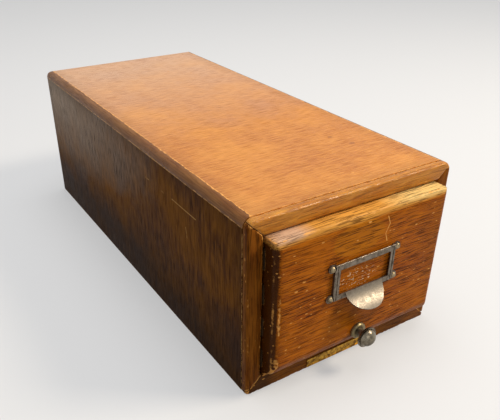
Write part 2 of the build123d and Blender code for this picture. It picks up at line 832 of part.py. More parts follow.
# ================================================================ follower
# Block: runs on the drawer bottom with the rod through it.
rest_shoulder = rest_thickness * tan(radians(rest_lean))
tenon_width = follower_width - 2 * rest_tenon_inset
with BuildPart() as follower_block:
    with BuildSketch(Plane.XY.offset(follower_low_z)):
        with Locations((0, (follower_front_y + follower_rear_y) / 2)):
            RectangleRounded(follower_width, follower_length, follower_corner)
    extrude(amount=follower_height)
    with BuildSketch(rest_plane):
        with Locations((0, (rest_shoulder - rest_tenon_depth) / 2)):
            Rectangle(tenon_width, rest_shoulder + rest_tenon_depth)
    extrude(amount=-rest_thickness, mode=Mode.SUBTRACT)
    with BuildSketch(Plane.XZ.offset(-follower_front_y)):
        with Locations((0, rod_height)):
            Circle(rod_bore_radius)
    extrude(amount=-follower_length, mode=Mode.SUBTRACT)
    with BuildSketch(screw_plane):
        with Locations((0, insert_y)):
            Circle(screw_hole_radius)
    extrude(amount=rod_height - follower_top_z, mode=Mode.SUBTRACT)
    with BuildSketch(screw_plane):
        with Locations((0, insert_y)):
            Circle(insert_radius)
    extrude(amount=-insert_length, mode=Mode.SUBTRACT)
save(follower_block, "follower_block")

# Rest: a board tenoned into the block, leaning back, for the cards to stand against.
with BuildPart() as follower_rest:
    with BuildSketch(rest_plane) as rest_view:
        with Locations((0, rest_slope_height / 2)):
            Rectangle(rest_width, rest_slope_height)
        fillet(rest_view.vertices().group_by(Axis.Y)[-1], rest_corner)
    extrude(amount=-rest_thickness)
    with BuildSketch(Plane.XY.offset(follower_top_z)):
        with Locations((0, (follower_front_y + follower_rear_y) / 2)):
            Rectangle(rest_width, follower_length)
    extrude(amount=-follower_height, mode=Mode.SUBTRACT)
    with BuildSketch(rest_plane):
        with Locations((0, (rest_shoulder - rest_tenon_depth) / 2)):
            Rectangle(tenon_width, rest_shoulder + rest_tenon_depth)
    extrude(amount=-rest_thickness)
save(follower_rest, "follower_rest")

# Insert: a brass bush that takes the clamp screw.
with BuildPart() as follower_insert:
    with BuildSketch(screw_plane):
        with Locations((0, insert_y)):
            Circle(insert_radius)
            Circle(screw_radius + screw_clearance, mode=Mode.SUBTRACT)
    extrude(amount=-insert_length)
save(follower_insert, "follower_insert")

# Clamp screw: a fluted head that turns down on the rod.
with BuildPart() as clamp_screw:
    with BuildSketch(screw_plane.offset(screw_head_lift)):
        with Locations((0, insert_y)):
            Circle(screw_head_radius)
    extrude(amount=screw_head_height)
    fillet(clamp_screw.edges(), screw_head_round)
    with BuildSketch(screw_plane.offset(screw_head_lift)):
        with Locations((0, insert_y)):
            with PolarLocations(screw_head_radius, screw_head_flutes):
                Circle(screw_flute_radius)
    extrude(amount=screw_head_height, mode=Mode.SUBTRACT)
    with BuildSketch(screw_plane.offset(screw_head_lift)):
        with Locations((0, insert_y)):
            Circle(screw_radius)
    extrude(amount=rod_height + rod_radius + screw_tip_gap - follower_top_z - screw_head_lift)
save(clamp_screw, "clamp_screw")
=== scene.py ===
"""Looks of the index card drawer: old varnished oak, darkened brass and worn nickel plate."""
import math

import bmesh
import bpy
import numpy as np
from mathutils import Matrix, Vector, noise


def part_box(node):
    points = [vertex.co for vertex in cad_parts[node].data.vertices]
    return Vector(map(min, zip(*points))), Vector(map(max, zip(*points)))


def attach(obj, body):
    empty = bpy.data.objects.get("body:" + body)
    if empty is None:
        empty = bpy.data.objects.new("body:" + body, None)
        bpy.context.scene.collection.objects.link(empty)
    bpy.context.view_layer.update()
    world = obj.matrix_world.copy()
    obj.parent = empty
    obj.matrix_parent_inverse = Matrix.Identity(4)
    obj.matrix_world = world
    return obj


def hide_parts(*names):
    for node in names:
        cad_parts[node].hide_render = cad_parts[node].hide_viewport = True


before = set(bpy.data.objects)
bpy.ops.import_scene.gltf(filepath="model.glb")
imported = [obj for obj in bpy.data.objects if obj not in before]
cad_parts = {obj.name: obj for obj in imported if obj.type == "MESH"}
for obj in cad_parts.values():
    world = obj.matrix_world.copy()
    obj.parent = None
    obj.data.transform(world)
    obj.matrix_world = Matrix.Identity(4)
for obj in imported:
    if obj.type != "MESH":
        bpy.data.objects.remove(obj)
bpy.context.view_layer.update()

MM = 0.001


def linear(hex_colour):
    """An sRGB hex colour as linear RGBA."""
    channels = [int(hex_colour[i:i + 2], 16) / 255 for i in (1, 3, 5)]
    return tuple(c / 12.92 if c <= 0.04045 else ((c + 0.055) / 1.055) ** 2.4 for c in channels) + (1.0,)


def add(tree, kind, inputs=None, **settings):
    """Adds one node.

    settings are the node's own properties; inputs are values, nodes or sockets by socket name or number.
    """
    made = tree.nodes.new(kind)
    for name, value in settings.items():
        setattr(made, name, value)
    for key, value in (inputs or {}).items():
        if isinstance(value, bpy.types.Node):
            value = value.outputs[0]
        if isinstance(value, bpy.types.NodeSocket):
            tree.links.new(value, made.inputs[key])
        else:
            made.inputs[key].default_value = value
    return made


def new_material(name):
    """An empty node material and its tree."""
    material = bpy.data.materials.new(name)
    material.use_nodes = True
    material.node_tree.nodes.clear()
    return material, material.node_tree


# ---------------------------------------------------------------- materials
# Sizes of what the eye sees in the oak and on the metal. Real pores are a third as wide and real rub marks
# finer still. Both are drawn coarser here, because they wouldn't show at the distance of the picture.
PORE_WIDTH = 0.65 * MM
PORE_LENGTH = 14 * MM
STREAK_WIDTH = 1.9 * MM
STREAK_LENGTH = 60 * MM
FLECK_WIDTH = 4.5 * MM
FLECK_LENGTH = 26 * MM
CLOUD_SIZE = 42 * MM
RAGGED_SIZE = 5 * MM
SPECK_WIDTH = 3.6 * MM
SPECK_LENGTH = 9 * MM
FLAKE_WIDTH = 2.4 * MM
FLAKE_LENGTH = 6 * MM
RING_WIDTH = 6 * MM
RING_LENGTH = 150 * MM
RUB_WIDTH = 0.35 * MM
RUB_LENGTH = 6 * MM
PORE_DEPTH = 0.10 * MM
RUB_DEPTH = 0.05 * MM
ARRIS_WEAR = 2.6 * MM
GRIME_REACH, GRIME_FULL = 14 * MM, 3 * MM
GRAIN_AXES = {"x": 0, "y": 1, "z": 2}

# A noise keeps close to 0.5, so two thresholds near it say how much of a surface a pattern covers.
PORE_START, PORE_FULL = 0.51, 0.60
BARE_PORE_START, BARE_PORE_FULL = 0.56, 0.72
FLAKE_START, FLAKE_FULL = 0.585, 0.62
TARNISH_START, TARNISH_FULL = 0.38, 0.62
STAIN_START, STAIN_FULL = 0.58, 0.70
SPECK_START, SPECK_FULL = 0.405, 0.355

# The tone between the pores is a sum of three noises, which lies about half their total share.
FLECK_SHARE, STREAK_SHARE, CLOUD_SHARE = 0.50, 0.30, 0.45
TONE_MEAN = 0.5 * (FLECK_SHARE + STREAK_SHARE + CLOUD_SHARE)
TONE_SPREAD = 0.11

# A stain ends where the wandering distance from its middle passes this.
STAIN_EDGE = 1.35

# Colours of what has settled on the wood, and the painted shade of the gap beside the drawer front.
DIRT = "#2A1405"
PORE_DUST = "#4A3018"
PAINTED_GAP_SHADE = "#2C1A0A"


def stretched(width, length, along):
    """Scale of a pattern that is length long down the grain and width across it."""
    scale = [1 / width] * 3
    scale[along] = 1 / length
    return scale


def board_places(tree, seed):
    """The place on the object, and the same moved by seed, so that no two boards show the same pattern."""
    place = add(tree, "ShaderNodeTexCoord").outputs["Object"]
    shift = (0.31 * seed, 0.17 * seed, 0.23 * seed)
    return place, add(tree, "ShaderNodeVectorMath", {0: place, 1: shift}, operation="ADD")


def scratch(tree, place, start, end, width):
    """How near the surface is to a scratch from start to end: 1 on it, 0 off it."""
    start, end = Vector(start), Vector(end)
    run = end - start
    offset = add(tree, "ShaderNodeVectorMath", {0: place, 1: start}, operation="SUBTRACT")
    per_run = run / run.length_squared
    share = add(tree, "ShaderNodeVectorMath", {0: offset, 1: per_run}, operation="DOT_PRODUCT")
    share = add(tree, "ShaderNodeMapRange", {"Value": share.outputs["Value"]})
    nearest = add(tree, "ShaderNodeVectorMath", {0: run, "Scale": share}, operation="SCALE")
    away = add(tree, "ShaderNodeVectorMath", {0: offset, 1: nearest}, operation="SUBTRACT")
    distance = add(tree, "ShaderNodeVectorMath", {0: away}, operation="LENGTH").outputs["Value"]
    return add(tree, "ShaderNodeMapRange", {"Value": distance, "From Min": width, "From Max": 0.4 * width})


def patch(tree, place, centre, reach, wander):
    """Distance from the middle of a stain, in shares of its reach, its outline led about by a noise."""
    offset = add(tree, "ShaderNodeVectorMath", {0: place, 1: centre}, operation="SUBTRACT")
    offset = add(tree, "ShaderNodeVectorMath", {0: offset, 1: [1 / r for r in reach]}, operation="MULTIPLY")
    distance = add(tree, "ShaderNodeVectorMath", {0: offset}, operation="LENGTH").outputs["Value"]
    return add(tree, "ShaderNodeMath", {0: wander, 1: 0.5, 2: distance}, operation="MULTIPLY_ADD")


def edge_distance(tree, place, box):
    """Distance to the nearest edge of a board: the middle one of the three distances to its faces."""
    low, high = box
    from_low = add(tree, "ShaderNodeVectorMath", {0: place, 1: low}, operation="SUBTRACT")
    from_high = add(tree, "ShaderNodeVectorMath", {0: high, 1: place}, operation="SUBTRACT")
    depth = add(tree, "ShaderNodeVectorMath", {0: from_low, 1: from_high}, operation="MINIMUM")
    parts = add(tree, "ShaderNodeSeparateXYZ", {0: depth}).outputs
    lesser = add(tree, "ShaderNodeMath", {0: parts[0], 1: parts[1]}, operation="MINIMUM")
    greater = add(tree, "ShaderNodeMath", {0: parts[0], 1: parts[1]}, operation="MAXIMUM")
    middle = add(tree, "ShaderNodeMath", {0: greater, 1: parts[2]}, operation="MINIMUM")
    return add(tree, "ShaderNodeMath", {0: lesser, 1: middle}, operation="MAXIMUM")


def varnished_oak(name, grain, deep, mid, light, box, seed, wear=0.5, gloss=0.36, specks=0.3, specular=0.12,
                  pores=0.7, contrast=1.0, bare="#DC9C50", scratches=(), stains=(), scraps=(), grime=0.45,
                  figure=1.0):
    """Oak under old varnish: fine dark pores along the grain, silky figure, worn arrises and small scuffs.

    grain is the axis of the fibres, box the corners of the board, whose edges wear, and seed tells boards
    apart. figure sizes the pattern between the pores. scratches are (start, end, width), and
    stains are (centre, reach, colour, strength, softness): real stain marks, and also
    painted shade, painted sheen and painted highlights. scraps are (centre, reach, colour) of places where
    bits of paper and glue still stick.
    """
    material, tree = new_material(name)
    place, board = board_places(tree, seed)
    along = GRAIN_AXES[grain]

    def grained(width, length, **values):
        """A noise drawn out along the fibres."""
        scale = stretched(figure * width, figure * length, along)
        drawn_out = add(tree, "ShaderNodeMapping", {"Vector": board, "Scale": scale})
        return add(tree, "ShaderNodeTexNoise", {"Vector": drawn_out, "Scale": 1.0, **values})

    flecks = grained(FLECK_WIDTH, FLECK_LENGTH, Detail=3.0, Roughness=0.55, Distortion=0.6)
    streaks = grained(STREAK_WIDTH, STREAK_LENGTH, Detail=4.0, Roughness=0.6, Distortion=0.2)
    pore_noise = grained(PORE_WIDTH / figure, PORE_LENGTH / figure, Detail=1.0)
    pore_cut = add(tree, "ShaderNodeMapRange", {
        "Value": pore_noise, "From Min": PORE_START, "From Max": PORE_FULL})
    cloud = add(tree, "ShaderNodeTexNoise", {
        "Vector": board, "Scale": 1 / CLOUD_SIZE, "Detail": 4.0, "Roughness": 0.6})
    ragged = add(tree, "ShaderNodeTexNoise", {
        "Vector": board, "Scale": 1 / RAGGED_SIZE, "Detail": 5.0, "Roughness": 0.7})

    # The tone of the wood between the pores, then the patches on it: stain marks, and also painted shade,
    # sheen and highlights.
    tone = add(tree, "ShaderNodeMath", {0: flecks, 1: FLECK_SHARE}, operation="MULTIPLY")
    tone = add(tree, "ShaderNodeMath", {0: streaks, 1: STREAK_SHARE, 2: tone}, operation="MULTIPLY_ADD")
    tone = add(tree, "ShaderNodeMath", {0: cloud, 1: CLOUD_SHARE, 2: tone}, operation="MULTIPLY_ADD")
    spread = TONE_SPREAD / contrast
    shade = add(tree, "ShaderNodeMapRange", {
        "Value": tone, "From Min": TONE_MEAN - spread, "From Max": TONE_MEAN + spread})
    wood = add(tree, "ShaderNodeMix", {
        0: shade, 6: linear(mid), 7: linear(light)}, data_type="RGBA").outputs[2]
    for centre, reach, colour, strength, softness in stains:
        distance = patch(tree, place, centre, reach, cloud)
        distance = add(tree, "ShaderNodeMath", {0: ragged, 1: 0.2, 2: distance}, operation="MULTIPLY_ADD")
        inside = add(tree, "ShaderNodeMapRange", {
            "Value": distance, "From Min": STAIN_EDGE + softness / 2,
            "From Max": STAIN_EDGE - softness / 2, "To Max": strength})
        wood = add(tree, "ShaderNodeMix", {
            0: inside, 6: wood, 7: linear(colour)}, data_type="RGBA").outputs[2]

    # Pores, darker where the cloud is thin.
    low_cloud = add(tree, "ShaderNodeMapRange", {
        "Value": cloud, "From Min": 0.60, "From Max": 0.40, "To Min": 0.55})
    dark = add(tree, "ShaderNodeMath", {0: pore_cut, 1: pores}, operation="MULTIPLY")
    dark = add(tree, "ShaderNodeMath", {0: dark, 1: low_cloud}, operation="MULTIPLY")
    wood = add(tree, "ShaderNodeMix", {0: dark, 6: wood, 7: linear(deep)}, data_type="RGBA").outputs[2]

    # Grime that gathers along the edges, more of it where the cloud is thick.
    edge = edge_distance(tree, place, box)
    grime_near = add(tree, "ShaderNodeMapRange", {
        "Value": edge, "From Min": GRIME_REACH, "From Max": GRIME_FULL, "To Max": grime})
    grimed = add(tree, "ShaderNodeMath", {0: grime_near, 1: cloud}, operation="MULTIPLY")
    wood = add(tree, "ShaderNodeMix", {0: grimed, 6: wood, 7: linear(DIRT)}, data_type="RGBA").outputs[2]

    # Arrises rubbed back to paler wood, by distance on the CAD boards and by the worn attribute on the
    # aged ones.
    rubbed_width = add(tree, "ShaderNodeMapRange", {
        "Value": ragged, "From Min": 0.42, "From Max": 0.75, "To Max": ARRIS_WEAR * wear})
    rubbed = add(tree, "ShaderNodeMath", {0: edge, 1: rubbed_width}, operation="LESS_THAN")
    worn = add(tree, "ShaderNodeAttribute", attribute_name="worn").outputs["Fac"]
    worn_noise = add(tree, "ShaderNodeMath", {0: ragged, 1: 1.3, 2: -0.75}, operation="MULTIPLY_ADD")
    worn = add(tree, "ShaderNodeMath", {0: worn, 1: worn_noise}, operation="ADD")
    worn = add(tree, "ShaderNodeMapRange", {
        "Value": worn, "From Min": 0.35, "From Max": 0.65, "To Max": 0.9})
    rubbed = add(tree, "ShaderNodeMath", {0: rubbed, 1: worn}, operation="MAXIMUM")

    # Small pale scuffs where the varnish is chipped, in a random share of the cells.
    speck_scale = stretched(SPECK_WIDTH, SPECK_LENGTH, along)
    speck_place = add(tree, "ShaderNodeMapping", {"Vector": board, "Scale": speck_scale})
    cells = add(tree, "ShaderNodeTexVoronoi", {"Vector": speck_place, "Scale": 1.0}).outputs
    cell_draw = add(tree, "ShaderNodeSeparateColor", {0: cells["Color"]}).outputs[0]
    chosen = add(tree, "ShaderNodeMath", {0: cell_draw, 1: specks}, operation="LESS_THAN")
    torn = add(tree, "ShaderNodeMath", {0: ragged, 1: 0.55, 2: cells["Distance"]}, operation="MULTIPLY_ADD")
    speck = add(tree, "ShaderNodeMapRange", {
        "Value": torn, "From Min": SPECK_START, "From Max": SPECK_FULL, "To Max": 0.9})
    speck = add(tree, "ShaderNodeMath", {0: speck, 1: chosen}, operation="MULTIPLY")
    rubbed = add(tree, "ShaderNodeMath", {0: rubbed, 1: speck}, operation="MAXIMUM")
    for start, end, width in scratches:
        broken = add(tree, "ShaderNodeMapRange", {
            "Value": ragged, "From Min": 0.36, "From Max": 0.50, "To Min": 0.2})
        line = scratch(tree, place, start, end, width)
        mark = add(tree, "ShaderNodeMath", {0: line, 1: broken}, operation="MULTIPLY")
        rubbed = add(tree, "ShaderNodeMath", {0: rubbed, 1: mark}, operation="MAXIMUM")
    wood = add(tree, "ShaderNodeMix", {
        0: rubbed, 6: wood, 7: linear(bare)}, data_type="RGBA").outputs[2]

    for centre, reach, colour in scraps:
        distance = patch(tree, place, centre, reach, cloud)
        inside = add(tree, "ShaderNodeMapRange", {
            "Value": distance, "From Min": STAIN_EDGE, "From Max": 1.1})
        flakes = grained(FLAKE_WIDTH, FLAKE_LENGTH, Detail=4.0, Roughness=0.65)
        flakes = add(tree, "ShaderNodeMapRange", {
            "Value": flakes, "From Min": FLAKE_START, "From Max": FLAKE_FULL, "To Max": 0.85})
        stuck = add(tree, "ShaderNodeMath", {0: inside, 1: flakes}, operation="MULTIPLY")
        wood = add(tree, "ShaderNodeMix", {
            0: stuck, 6: wood, 7: linear(colour)}, data_type="RGBA").outputs[2]

    # The varnish is duller in the pores and on the chips, and both lie a little deep.
    rough = add(tree, "ShaderNodeMapRange", {
        "Value": cloud, "From Min": 0.3, "From Max": 0.7, "To Min": gloss - 0.05, "To Max": gloss + 0.08})
    rough = add(tree, "ShaderNodeMath", {0: pore_cut, 1: 0.15, 2: rough}, operation="MULTIPLY_ADD")
    rough = add(tree, "ShaderNodeMath", {0: speck, 1: 0.3, 2: rough}, operation="MULTIPLY_ADD")
    relief = add(tree, "ShaderNodeMath", {0: pore_cut, 1: -1.0, 2: flecks}, operation="MULTIPLY_ADD")
    relief = add(tree, "ShaderNodeMath", {0: speck, 1: -1.5, 2: relief}, operation="MULTIPLY_ADD")
    bump = add(tree, "ShaderNodeBump", {"Height": relief, "Distance": PORE_DEPTH, "Strength": 0.6})
    shader = add(tree, "ShaderNodeBsdfPrincipled", {
        "Base Color": wood, "Roughness": rough, "Normal": bump, "Specular IOR Level": specular, "IOR": 1.5,
    })
    add(tree, "ShaderNodeOutputMaterial", {"Surface": shader})
    return material


def bare_oak(name, grain, deep, light, seed, gap_shade_depth=None):
    """Oak with no varnish, planed and darkened by age: dull, with open pores.

    gap_shade_depth is a depth: in front of it the wood is painted nearly black, as the shade of a gap.
    """
    material, tree = new_material(name)
    place, board = board_places(tree, seed)
    along = GRAIN_AXES[grain]
    ring_scale = stretched(RING_WIDTH, RING_LENGTH, along)
    ring_place = add(tree, "ShaderNodeMapping", {"Vector": board, "Scale": ring_scale})
    rings = add(tree, "ShaderNodeTexNoise", {
        "Vector": ring_place, "Scale": 1.0, "Detail": 6.0, "Roughness": 0.6, "Distortion": 0.5})
    pore_scale = stretched(PORE_WIDTH, PORE_LENGTH, along)
    pore_place = add(tree, "ShaderNodeMapping", {"Vector": board, "Scale": pore_scale})
    pores = add(tree, "ShaderNodeTexNoise", {"Vector": pore_place, "Scale": 1.0, "Detail": 2.0})
    pore_cut = add(tree, "ShaderNodeMapRange", {
        "Value": pores, "From Min": BARE_PORE_START, "From Max": BARE_PORE_FULL, "To Max": 0.7})
    shade = add(tree, "ShaderNodeMapRange", {"Value": rings, "From Min": 0.35, "From Max": 0.65})
    wood = add(tree, "ShaderNodeMix", {
        0: shade, 6: linear(deep), 7: linear(light)}, data_type="RGBA").outputs[2]
    wood = add(tree, "ShaderNodeMix", {
        0: pore_cut, 6: wood, 7: linear(PORE_DUST)}, data_type="RGBA").outputs[2]
    # In front of the depth the wood is painted nearly black, as shade in the gap beside the drawer front.
    if gap_shade_depth:
        front = add(tree, "ShaderNodeSeparateXYZ", {0: place}).outputs[1]
        gap_shade = add(tree, "ShaderNodeMapRange", {
            "Value": front, "From Min": gap_shade_depth, "From Max": gap_shade_depth - 2 * MM, "To Max": 0.9})
        wood = add(tree, "ShaderNodeMix", {
            0: gap_shade, 6: wood, 7: linear(PAINTED_GAP_SHADE)}, data_type="RGBA").outputs[2]
    bump = add(tree, "ShaderNodeBump", {"Height": pores, "Distance": PORE_DEPTH, "Strength": 0.5})
    rough = add(tree, "ShaderNodeMapRange", {"Value": rings, "To Min": 0.62, "To Max": 0.78})
    shader = add(tree, "ShaderNodeBsdfPrincipled", {
        "Base Color": wood, "Roughness": rough, "Normal": bump, "Specular IOR Level": 0.3,
    })
    add(tree, "ShaderNodeOutputMaterial", {"Surface": shader})
    return material


def old_metal(name, bright, dull, tarnish, rough_low, rough_high, patch_size, rub_axis="z", clean=None):
    """Metal handled for years: rubbed bright on top of a dull tarnish, with fine rub marks one way.

    clean is (depth, colour): in front of that depth fingers keep the metal smooth and pale.
    """
    material, tree = new_material(name)
    place = add(tree, "ShaderNodeTexCoord").outputs["Object"]
    patches = add(tree, "ShaderNodeTexNoise", {
        "Vector": place, "Scale": 1 / patch_size, "Detail": 6.0, "Roughness": 0.62})
    rub_scale = stretched(RUB_WIDTH, RUB_LENGTH, GRAIN_AXES[rub_axis])
    rub_place = add(tree, "ShaderNodeMapping", {"Vector": place, "Scale": rub_scale})
    rubs = add(tree, "ShaderNodeTexNoise", {"Vector": rub_place, "Scale": 1.0, "Detail": 3.0})
    dulled = add(tree, "ShaderNodeMapRange", {
        "Value": patches, "From Min": TARNISH_START, "From Max": TARNISH_FULL})
    metal = add(tree, "ShaderNodeMix", {
        0: dulled, 6: linear(bright), 7: linear(dull)}, data_type="RGBA").outputs[2]
    stained = add(tree, "ShaderNodeMapRange", {
        "Value": patches, "From Min": STAIN_START, "From Max": STAIN_FULL, "To Max": 0.8})
    metal = add(tree, "ShaderNodeMix", {
        0: stained, 6: metal, 7: linear(tarnish)}, data_type="RGBA").outputs[2]
    mixed = add(tree, "ShaderNodeMath", {0: patches, 1: rubs}, operation="MULTIPLY")
    rough = add(tree, "ShaderNodeMapRange", {
        "Value": mixed, "From Min": 0.12, "From Max": 0.40, "To Min": rough_low, "To Max": rough_high})
    if clean:
        depth, colour = clean
        front = add(tree, "ShaderNodeSeparateXYZ", {0: place}).outputs[1]
        handled = add(tree, "ShaderNodeMapRange", {
            "Value": front, "From Min": depth, "From Max": depth - 1.5 * MM, "To Max": 0.9})
        metal = add(tree, "ShaderNodeMix", {
            0: handled, 6: metal, 7: linear(colour)}, data_type="RGBA").outputs[2]
    bump = add(tree, "ShaderNodeBump", {"Height": mixed, "Distance": RUB_DEPTH, "Strength": 0.5})
    shader = add(tree, "ShaderNodeBsdfPrincipled", {
        "Base Color": metal, "Roughness": rough, "Normal": bump, "Metallic": 1.0,
    })
    add(tree, "ShaderNodeOutputMaterial", {"Surface": shader})
    return material


# Tones of the varnished oak: deep in the pores, mid and light between them. The varnish keeps the usual
# IOR of 1.5, and specular says how much of its shine is left.
OAK_TOP = dict(
    deep="#7E4216", mid="#B26C28", light="#CE8C42", specular=0.25, gloss=0.40, grime=0.25, contrast=0.8,
    pores=0.5)
# The sides' tones are partly the darker varnish and partly painted shade of the left side, which faces away
# from the light; the right side shares them.
OAK_SIDE_WITH_PAINTED_SHADE = dict(
    deep="#220F03", mid="#5A310B", light="#86541A", specular=0.02, gloss=0.42, pores=0.75, contrast=1.1)
OAK_FRONT = dict(
    deep="#3A1602", mid="#964A06", light="#BE6C12", specular=0.06, gloss=0.34, pores=0.85, contrast=0.8)
# Lippings in lit and shaded copies of one oak: the top one lightened as painted light, the foot and the
# sides darkened as painted shade.
OAK_LIP_PAINTED_LIT = dict(deep="#5A2A08", mid="#B9701C", light="#DC9638", specular=0.24, gloss=0.26, pores=0.6)
OAK_LIP_FOOT_PAINTED_SHADE = dict(deep="#2E1504", mid="#7A420A", light="#9C5E18", specular=0.06, gloss=0.36, pores=0.7)
OAK_LIP_SIDE_PAINTED_SHADE = dict(deep="#2A1204", mid="#743C0A", light="#A4621C", specular=0.04, gloss=0.40, pores=0.75)
OAK_STRIP = dict(deep="#4A2A12", mid="#7E4C1E", light="#9C6832", specular=0.2, gloss=0.32, pores=0.4)

# Outer faces of the case and the drawer, on which the marks below lie.
side_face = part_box("case_left_panel")[0][0]
top_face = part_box("case_top_panel")[1][2]
front_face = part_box("drawer_front")[0][1]

# Pale scratches high on the left side.
SIDE_SCRATCHES = [
    ((side_face, -0.0966, 0.1123), (side_face, -0.1333, 0.1118), 0.55 * MM),
    ((side_face, -0.1171, 0.0982), (side_face, -0.1187, 0.0897), 0.45 * MM),
    ((side_face, -0.0790, 0.1118), (side_face, -0.0826, 0.1116), 0.55 * MM),
    ((side_face, -0.0498, 0.1123), (side_face, -0.0564, 0.1122), 0.40 * MM),
]
# Drawer front: an amber patch over the label frame, a dull right end, a painted shadow below the label
# holder by the knob, painted shade down the left bevel, which faces away from the light, and three painted
# highlights along the top bevel.
FRONT_STAINS_SHADE_AND_HIGHLIGHTS = [
    ((-0.008, front_face, 0.112), (0.023, 0.05, 0.013), "#C07810", 0.5, 0.15),
    ((0.066, front_face, 0.095), (0.016, 0.05, 0.040), "#6A3A10", 0.20, 0.4),
    # painted shadow below the label holder
    ((0.004, front_face, 0.046), (0.016, 0.05, 0.012), "#55300C", 0.40, 0.4),
    # painted shade down the left bevel
    ((-0.0768, front_face, 0.070), (0.0034, 0.05, 0.20), "#2A1606", 0.85, 0.3),
    # painted highlights along the top bevel (three)
    ((0.0, front_face, 0.1278), (0.30, 0.05, 0.0046), "#E0A048", 0.85, 0.5),
    ((0.060, front_face, 0.1286), (0.036, 0.05, 0.0040), "#F2CE84", 0.85, 0.7),
    ((-0.062, front_face, 0.1286), (0.016, 0.05, 0.0036), "#CFAE98", 0.75, 0.7),
]
# Scraps that still stick in the window of the label frame.
FRONT_SCRAPS = [
    ((-0.006, front_face, 0.080), (0.017, 0.05, 0.0085), "#E8D2B0"),
]
# Short scratches along the edge of the amber patch, and one low on the left bevel.
FRONT_SCRATCHES = [
    ((0.0165, front_face, 0.1215), (0.0190, front_face, 0.1150), 0.55 * MM),
    ((0.0190, front_face, 0.1150), (0.0160, front_face, 0.1080), 0.55 * MM),
    ((0.0160, front_face, 0.1080), (0.0182, front_face, 0.1015), 0.55 * MM),
    ((-0.0735, front_face, 0.0720), (-0.0720, front_face, 0.0560), 0.9 * MM),
]
# Left side: a painted sheen high at the back, pale like a reflection, and darker along the foot.
SIDE_PAINTED_SHEEN_AND_DARK_FOOT = [
    ((side_face, 0.21, 0.130), (0.05, 0.17, 0.050), "#CBB5A0", 0.9, 1.5),
    ((side_face, 0.05, 0.0), (0.05, 0.40, 0.050), "#190E08", 0.75, 0.9),
]
# Top: a painted sheen towards the back, pale and greyish like a grazing reflection, and two small dark dots
# near the front.
TOP_PAINTED_SHEEN_AND_DOTS = [
    ((0.0, 0.24, top_face), (0.40, 0.19, 0.05), "#C9A88C", 0.65, 1.2),
    ((0.0445, -0.1155, top_face), (0.0022, 0.0016, 0.01), "#7A4A24", 0.5, 0.4),
    ((0.0507, -0.1348, top_face), (0.0025, 0.0016, 0.01), "#7A4A24", 0.5, 0.4),
]
# Lower lipping: darker at its left end.
FOOT_DARK_END = [
    ((side_face, -0.205, 0.004), (0.022, 0.05, 0.03), "#241206", 0.7, 0.5),
]


def oak_piece(node, name, grain, seed, tones, **more):
    """The varnished oak of one board, worn along that board's own edges."""
    return varnished_oak(name, grain, box=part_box(node), seed=seed, **{**tones, **more})


# The drawer sides are painted nearly black up to this depth, as shade in the gap beside the front, where
# their ends show.
lap_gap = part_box("front_lip_left")[0][1] + 4 * MM
finishes = {
    # Veneer under thin varnish: a warm orange brown with short, fine figure and few marks.
    "case_top_panel": oak_piece(
        "case_top_panel", "oak_veneer_varnished_top", "x", 1, OAK_TOP, specks=0.02, wear=0.35,
        stains=TOP_PAINTED_SHEEN_AND_DOTS, figure=0.35),
    # Boards under old varnish: deep brown with upright grain and a weak shine, pale where it is rubbed off.
    # The deep brown is partly the darker varnish and partly painted shade of the left side, turned from the
    # light.
    "case_left_panel": oak_piece(
        "case_left_panel", "oak_board_varnished_left", "z", 2, OAK_SIDE_WITH_PAINTED_SHADE, specks=0.06, wear=0.3,
        scratches=SIDE_SCRATCHES, stains=SIDE_PAINTED_SHEEN_AND_DARK_FOOT, bare="#C99A5A"),
    "case_right_panel": oak_piece(
        "case_right_panel", "oak_board_varnished_right", "z", 3, OAK_SIDE_WITH_PAINTED_SHADE, specks=0.08, wear=0.3),
    # Moulded strips that hands have rubbed: a softer, paler brown than the sides.
    "corner_strip_left": oak_piece(
        "corner_strip_left", "oak_strip_varnished_left", "y", 4, OAK_STRIP, specks=0.04),
    "corner_strip_right": oak_piece(
        "corner_strip_right", "oak_strip_varnished_right", "y", 5, OAK_STRIP, specks=0.04),
    # Planed boards with no varnish, darkened by age: dull brown, with open pores.
    "case_bottom_panel": bare_oak("oak_bottom_bare", "x", "#6B4A28", "#8F6A3E", 6),
    "case_back_panel": bare_oak("oak_back_bare", "x", "#6B4826", "#94693A", 7),
    "drawer_stop_block": bare_oak("oak_stop_bare", "x", "#75512B", "#9A7142", 8),
    # The planed drawer box has been kept from the light: paler and drier than the case.
    "drawer_left_side": bare_oak("oak_drawer_side_left_bare", "y", "#8C683E", "#B58F5C", 9, lap_gap),
    "drawer_right_side": bare_oak("oak_drawer_side_right_bare", "y", "#8C683E", "#B58F5C", 10, lap_gap),
    "drawer_back": bare_oak("oak_drawer_back_bare", "x", "#84603A", "#AD8654", 11),
    "drawer_bottom": bare_oak("oak_drawer_bottom_bare", "x", "#8E6C44", "#B99A69", 12),
    # Planed follower, darker from fingers.
    "follower_block": bare_oak("oak_follower_block_bare", "x", "#7D5A33", "#A67E4C", 13),
    "follower_rest": bare_oak("oak_follower_rest_bare", "x", "#7D5A33", "#A67E4C", 14),
}

# Pressed nickel silver: a dull warm grey, smooth and even where fingers pull at the tongue.
handled_front = (front_face - 2.6 * MM, "#746C60")
holder_metal = old_metal(
    "nickel_silver_darkened_by_age", "#82776A", "#5E5448", "#38302A", 0.34, 0.6, 4 * MM,
    clean=handled_front)
# Turned brass left to darken: a brown grey with a soft glint.
bush_metal = old_metal("brass_bush_darkened", "#8C7D5A", "#5E5340", "#2F2A20", 0.32, 0.6, 7 * MM)
# Drawn brass pins: dark domes with small bright tops.
pin_metal = old_metal("brass_pins_darkened", "#A08F70", "#6A5D48", "#2E281E", 0.28, 0.5, 3 * MM)
